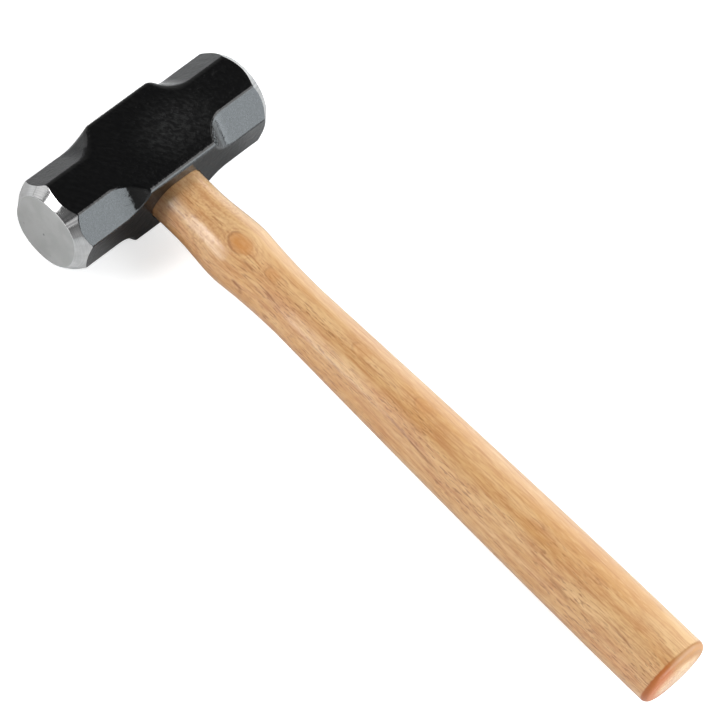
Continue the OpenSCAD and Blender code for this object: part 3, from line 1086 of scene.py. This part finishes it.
@dataclass
class Handle:
    """The one-piece handle: tenon, root, swell, neck, grip and butt."""

    reach: float = 300.5
    proud: float = 1.0
    root: float = 13.0
    swell_at: float = 39.0
    swell: tuple[float, float] = (31.8, 24.2)
    neck_at: float = 76.0
    neck: tuple[float, float] = (28.2, 21.6)
    butt: tuple[float, float] = (36.6, 27.8)
    butt_round: float = 3.0
    butt_dome: float = 1.0
    step_out: float = 0.1
    head: Head = field(default_factory=Head)
    sides: int = 208
    ring_step: float = 0.7
    wood: HandleWood = field(default_factory=HandleWood)
    sawn: EndGrain = field(default_factory=EndGrain)

    @property
    def foot(self) -> float:
        """Where the shaft leaves the head."""
        return self.head.height / 2

    @property
    def end(self) -> float:
        """Where the butt ends."""
        return self.foot + self.reach

    @property
    def tenon_end(self) -> float:
        """Where the tenon ends, above the far side of the head."""
        return -self.foot - self.proud

    def growth(self, x: np.ndarray) -> tuple[np.ndarray, np.ndarray, np.ndarray]:
        """Shares of the swell, the neck and the butt in the section at x."""
        root, swell, neck = self.foot + self.root, self.foot + self.swell_at, self.foot + self.neck_at
        t = np.clip((x - root) / (swell - root), 0, 1)
        rise = t * t * (3 - 2 * t)
        t = np.clip((x - swell) / (neck - swell), 0, 1)
        fall = 1 - np.maximum(1 - 1.06 * t * t / (t + 0.06), 0) ** 2.3
        t = np.clip((x - neck) / (self.end - neck), 0, 1)
        return rise, fall, np.sin(t * math.pi / 2)

    def half(self, x: np.ndarray, which: int) -> np.ndarray:
        """Half size of the section at x.

        Args:
            x: Places along the handle.
            which: 0 for the long side, 1 for the short side.

        Returns:
            The half sizes.
        """
        eye = self.head.eye
        start = eye.mouth_radius + self.step_out + (eye.flat if which == 0 else 0.0)
        rise, fall, grow = self.growth(x)
        size = start + (self.swell[which] / 2 - start) * rise
        size = size + (self.neck[which] / 2 - size) * fall
        return size + (self.butt[which] / 2 - size) * grow

    def flat(self, x: np.ndarray) -> np.ndarray:
        """Half the flat between the round sides, which fades towards the butt."""
        t = np.clip((x - self.foot) / self.neck_at, 0, 1)
        return self.head.eye.flat * (1 - 0.7 * t * t * (3 - 2 * t))

    def ring(self, x: float, drawn_in: float) -> np.ndarray:
        """Returns one ring of the shaft at x, drawn in all round."""
        turn = 2 * np.pi * (np.arange(self.sides) + 0.5) / self.sides
        place = np.array([x])
        flat, long_half, short_half = self.flat(place)[0], self.half(place, 0)[0], self.half(place, 1)[0]
        y = np.sign(np.cos(turn)) * flat + (long_half - flat - drawn_in) * np.cos(turn)
        return np.stack([np.full(self.sides, x), y, (short_half - drawn_in) * np.sin(turn)], axis=1)

    def tenon_rings(self) -> list[np.ndarray]:
        """Returns the rings of the tenon, from its sawn end to the shaft."""
        eye = self.head.eye
        rings = []
        worn = 0.35
        for turn in np.radians([0, 15, 30, 45, 60, 75]):
            rings.append(eye.ring(self.tenon_end + worn * (1 - math.cos(turn)),
                                  eye.mouth_radius - worn * (1 - math.sin(turn)), self.sides))
        rings.append(eye.ring(self.tenon_end + worn, eye.mouth_radius, self.sides))
        for x in np.linspace(-self.foot, self.foot, 25):
            rings.append(eye.ring(float(x), float(eye.radius(np.array([x]))[0]), self.sides))
        return rings

    def stations(self) -> list[tuple[float, float]]:
        """Returns where the shaft's rings lie, and how far each is drawn in."""
        shaft_end = self.end - self.butt_dome - self.butt_round
        count = int(round((shaft_end - self.foot) / self.ring_step))
        places = [(float(x), 0.0) for x in np.linspace(self.foot, shaft_end, count + 1)]
        for turn in np.radians(np.linspace(0, 90, 13)[1:]):
            places.append((shaft_end + self.butt_round * math.sin(turn), self.butt_round * (1 - math.cos(turn))))
        for t in np.linspace(0, 1, 9)[1:-1]:
            places.append((self.end - self.butt_dome * (1 - t) ** 2, self.butt_round + t * (self.butt[1] / 2 - self.butt_round - 0.6)))
        return places

    def build(self, tools: Iterable[bpy.types.Object]) -> bpy.types.Object:
        """Builds and dresses the handle.

        Args:
            tools: Forms of the wedges, which cut the kerf and the pockets.

        Returns:
            The handle, standing for its CAD node.
        """
        rings = self.tenon_rings() + [self.ring(x, d) for x, d in self.stations()]
        points, faces = tube(np.array(rings), (self.tenon_end, 0, 0), (self.end, 0, 0))
        mesh = make_mesh("handle_skin", points, faces)
        mesh.materials.append(self.wood.material())
        mesh.materials.append(self.sawn.material())
        piece = link("hammer_handle", mesh)
        carve(piece, tools, Cut.AWAY)
        crease(piece.data, 34)
        sawn = (self.tenon_end + 0.32) * MM
        for face in piece.data.polygons:
            face.material_index = 1 if face.center.x < sawn or (face.center.x < 0 and abs(face.normal.x) > 0.9) else 0
        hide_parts("handle")
        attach(piece, ROOT)
        return piece


class Lie(Enum):
    """Which way a wedge is thick."""

    CHEEKS = "z"
    FACES = "y"


@dataclass
class Wedge:
    """A wedge driven into the end of the tenon."""

    name: str
    node: str
    slot: str
    length: float
    wide: float
    thick: float
    tip: float
    offset: float
    lie: Lie
    start: float

    def tool(self, grow: float = 0.0) -> bpy.types.Object:
        """Returns the wedge's plain form.

        Args:
            grow: How far the driven end reaches beyond the tenon, for a cut.

        Returns:
            The form as an object.
        """
        x0, x1 = self.start - grow, self.start + self.length
        first = self.thick / 2 + (self.thick - self.tip) / 2 / self.length * grow
        rings = []
        for x, half in ((x0, first), (x1, self.tip / 2)):
            across, thick = self.wide / 2, half
            corners = [(across, thick), (-across, thick), (-across, -thick), (across, -thick)]
            if self.lie is Lie.FACES:
                corners = [(b, a) for a, b in corners]
            rings.append([(x, self.offset + a, b) for a, b in corners])
        points, faces = tube(np.array(rings, float), (x0, self.offset, 0), (x1, self.offset, 0))
        return link(self.name, make_mesh(self.name, points, faces))

    def build(self, finish: Union[WedgeSteel, WedgeWood], within: bpy.types.Object | None = None,
              tools: Iterable[bpy.types.Object] = ()) -> bpy.types.Object:
        """Builds and dresses the wedge.

        Args:
            finish: Its finish.
            within: A form that it is kept inside.
            tools: Forms that cut it.

        Returns:
            The wedge, standing for its CAD node.
        """
        piece = self.tool()
        if within is not None:
            carve(piece, [within], Cut.KEEP)
        carve(piece, tools, Cut.AWAY)
        soften(piece, 0.22, 40.0, 3)
        crease(piece.data, 50)
        piece.data.materials.clear()
        piece.data.materials.append(finish.material())
        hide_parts(self.node)
        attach(piece, ROOT)
        return piece


@dataclass
class WedgeSet:
    """The wooden wedge along the eye and the two steel ones across it."""

    handle: Handle
    depth: float = 28.0
    thick: float = 3.4
    tip: float = 0.8
    steel_depth: float = 18.0
    steel_wide: float = 14.0
    steel_thick: float = 2.8
    steel_tip: float = 0.8
    gap: float = 12.0
    steel: WedgeSteel = field(default_factory=WedgeSteel)
    wood: WedgeWood = field(default_factory=WedgeWood)

    def wooden(self) -> Wedge:
        """Returns the wooden wedge's blank."""
        eye = self.handle.head.eye
        return Wedge("wooden_wedge", "wood_wedge", "wood_wedge", self.depth, eye.long_side + 4 * eye.lean + 4,
                     self.thick, self.tip, 0.0, Lie.CHEEKS, self.handle.tenon_end)

    def steels(self) -> list[Wedge]:
        """Returns the two steel wedges."""
        return [Wedge(f"steel_wedge_{side}", f"steel_wedge_{i}", "steel_wedge", self.steel_depth, self.steel_wide,
                      self.steel_thick, self.steel_tip, sign * self.gap / 2, Lie.FACES, self.handle.tenon_end)
                for i, sign, side in ((1, -1, "near"), (2, 1, "far"))]

    def tools(self) -> list[bpy.types.Object]:
        """Returns forms that cut the kerf and both pockets."""
        return [self.wooden().tool(1.0)] + [wedge.tool(1.0) for wedge in self.steels()]

    def oval(self) -> bpy.types.Object:
        """Returns the form of the eye that the wooden wedge is kept inside."""
        eye, end = self.handle.head.eye, self.handle.tenon_end
        places = [end - 1, -self.handle.foot, 0.0, self.handle.foot]
        rings = np.array([eye.ring(x, float(eye.radius(np.array([x]))[0]), 96) for x in places])
        points, faces = tube(rings, (places[0], 0, 0), (places[-1], 0, 0))
        return link("oval_tool", make_mesh("oval_tool", points, faces))

    def build(self) -> list[bpy.types.Object]:
        """Builds and dresses the three wedges."""
        cuts = [wedge.tool(1.0) for wedge in self.steels()]
        pieces = [self.wooden().build(self.wood, self.oval(), cuts)]
        return pieces + [wedge.build(self.steel) for wedge in self.steels()]


# --------------------------------------------------------------------------
# Studio
# --------------------------------------------------------------------------


@dataclass
class Softbox:
    """A soft lamp that looks at the head from a direction."""

    name: str
    azimuth: float
    elevation: float
    distance: float
    width: float
    height: float
    radiance: float
    colour: Colour = (1.0, 1.0, 1.0)
    target: Point = (0.08, 0.0, 0.02)

    def build(self) -> bpy.types.Object:
        """Returns the lamp."""
        lamp = bpy.data.lights.new(self.name, "AREA")
        lamp.shape, lamp.size, lamp.size_y = "RECTANGLE", self.width, self.height
        lamp.energy = self.radiance * math.pi * self.width * self.height
        lamp.color = self.colour
        piece = link(self.name, lamp)
        turn, rise = math.radians(self.azimuth), math.radians(self.elevation)
        out = Vector((math.cos(rise) * math.cos(turn), math.cos(rise) * math.sin(turn), math.sin(rise)))
        piece.location = Vector(self.target) + out * self.distance
        piece.rotation_euler = out.to_track_quat("Z", "Y").to_euler()
        piece.visible_camera = False
        return piece


@dataclass
class Studio:
    """A white table in a dim room, with soft lamps and the photograph's camera."""

    camera_place: Point = (0.820896, -1.376662, 2.359167)
    right: Point = (0.69777395, 0.68793213, 0.19965195)
    up: Point = (-0.67247271, 0.53308955, 0.513416)
    back: Point = (0.24676299, -0.49250879, 0.83459158)
    lens: float = 332.367
    floor_size: float = 14.0
    floor_white: float = 0.8
    floor_seen: float = 0.6
    # level of the painted shadow that reflections see on the table
    floor_reflected_shadow: float = 0.3
    room_high: float = 0.06
    room_low: float = 0.48
    room_fall: float = 1.5
    lamps: tuple[Softbox, ...] = (
        Softbox("low_side_lamp", 29.0, 17.6, 1.69, 3.15, 0.93, 5.3, (0.87, 0.955, 1.0)),
        Softbox("front_lamp", -121.0, 32.0, 1.6, 0.56, 0.6, 5.4),
        Softbox("high_lamp", -141.0, 49.0, 2.0, 0.62, 0.62, 12.0),
        Softbox("right_lamp", 48.0, 43.0, 1.9, 1.3, 0.95, 3.1),
        Softbox("front_card", -95.0, 9.0, 1.5, 1.4, 0.5, 0.9),
        Softbox("left_card", -158.0, 13.0, 1.6, 1.2, 0.7, 0.6),
        Softbox("window_card", 106.0, 15.0, 1.5, 0.6, 0.9, 1.7),
        Softbox("slim_card", -68.0, 33.0, 1.6, 0.26, 0.5, 0.6),
        Softbox("back_card", 88.0, 46.0, 0.75, 0.5, 0.4, 0.5),
    )

    def camera(self) -> bpy.types.Object:
        """Returns the camera, fitted to the photograph."""
        lens = bpy.data.cameras.new("camera")
        lens.sensor_width, lens.lens = 36.0, self.lens
        lens.clip_start, lens.clip_end = 0.05, 60.0
        piece = bpy.data.objects.new("camera", lens)
        bpy.context.scene.collection.objects.link(piece)
        turn = Matrix((self.right, self.up, self.back)).transposed()
        piece.matrix_world = Matrix.Translation(self.camera_place) @ turn.to_4x4()
        bpy.context.scene.camera = piece
        return piece

    def table(self) -> bpy.types.Object:
        """Returns the white table top."""
        half = self.floor_size / 2
        mesh = bpy.data.meshes.new("table")
        mesh.from_pydata([(-half, -half, -0.00005), (half, -half, -0.00005), (half, half, -0.00005), (-half, half, -0.00005)],
                         [], [(0, 1, 2, 3)])
        piece = link("table", mesh)
        g = Graph("white_table")
        ray = g.node("ShaderNodeLightPath").outputs
        x, y, _ = g.split(g.place())
        # painted shadow: reflections show the table darker in a patch beside the head, where the head would shade it;
        # the camera sees the table white
        glow = g.math("MULTIPLY", ray["Is Camera Ray"], self.floor_seen)
        reflected_shadow_patch = g.math("MULTIPLY", g.step(x, 10.0, 18.0), g.step(x, 62.0, 40.0))
        reflected_shadow_patch = g.math("MULTIPLY", reflected_shadow_patch, g.math("MULTIPLY", g.step(y, -36.0, -14.0), g.step(y, 70.0, 40.0)))
        shade = g.blend(g.math("MULTIPLY", ray["Is Glossy Ray"], reflected_shadow_patch), (self.floor_white,) * 3, (self.floor_reflected_shadow,) * 3)
        g.finish(Base_Color=shade, Roughness=0.25, IOR=1.45,
                 Emission_Color=(1.0, 1.0, 1.0), Emission_Strength=glow)
        mesh.materials.append(g.material)
        return piece

    def room_light(self) -> None:
        """Lights the room dimly and shows it white to the camera."""
        world = bpy.data.worlds.new("room")
        bpy.context.scene.world = world
        world.use_nodes = True
        tree = world.node_tree
        tree.nodes.clear()
        ray = tree.nodes.new("ShaderNodeLightPath")
        spot = tree.nodes.new("ShaderNodeTexCoord")
        parts = tree.nodes.new("ShaderNodeSeparateXYZ")
        tree.links.new(spot.outputs["Generated"], parts.inputs[0])
        low = tree.nodes.new("ShaderNodeMath")
        low.operation, low.use_clamp = "SUBTRACT", True
        low.inputs[0].default_value = 1.0
        tree.links.new(parts.outputs["Z"], low.inputs[1])
        fall = tree.nodes.new("ShaderNodeMath")
        fall.operation = "POWER"
        fall.inputs[1].default_value = self.room_fall
        tree.links.new(low.outputs[0], fall.inputs[0])
        dim = tree.nodes.new("ShaderNodeMapRange")
        dim.inputs["To Min"].default_value = self.room_high
        dim.inputs["To Max"].default_value = self.room_low
        tree.links.new(fall.outputs[0], dim.inputs["Value"])
        level = tree.nodes.new("ShaderNodeMapRange")
        level.inputs["To Max"].default_value = 1.0
        tree.links.new(dim.outputs[0], level.inputs["To Min"])
        tree.links.new(ray.outputs["Is Camera Ray"], level.inputs["Value"])
        glow = tree.nodes.new("ShaderNodeBackground")
        glow.inputs["Color"].default_value = (1, 1, 1, 1)
        tree.links.new(level.outputs[0], glow.inputs["Strength"])
        end = tree.nodes.new("ShaderNodeOutputWorld")
        tree.links.new(glow.outputs[0], end.inputs["Surface"])

    def build(self) -> None:
        """Builds the camera, the table and the lights."""
        self.camera()
        self.table()
        self.room_light()
        for lamp in self.lamps:
            lamp.build()
        bpy.context.scene.view_settings.view_transform = "Standard"


def main() -> None:
    """Builds the studio and each sub-assembly in turn."""
    logging.basicConfig(level=logging.INFO, format="%(name)s: %(message)s")
    Studio().build()
    log.info("studio: camera, table and lamps")
    head = Head()
    piece = head.build()
    log.info("%s: %d faces", piece.name, len(piece.data.polygons))
    handle = Handle(head=head)
    wedges = WedgeSet(handle)
    piece = handle.build(wedges.tools())
    log.info("%s: %d faces", piece.name, len(piece.data.polygons))
    for piece in wedges.build():
        log.info("%s: %d faces", piece.name, len(piece.data.polygons))


if __name__ == "__main__":
    main()
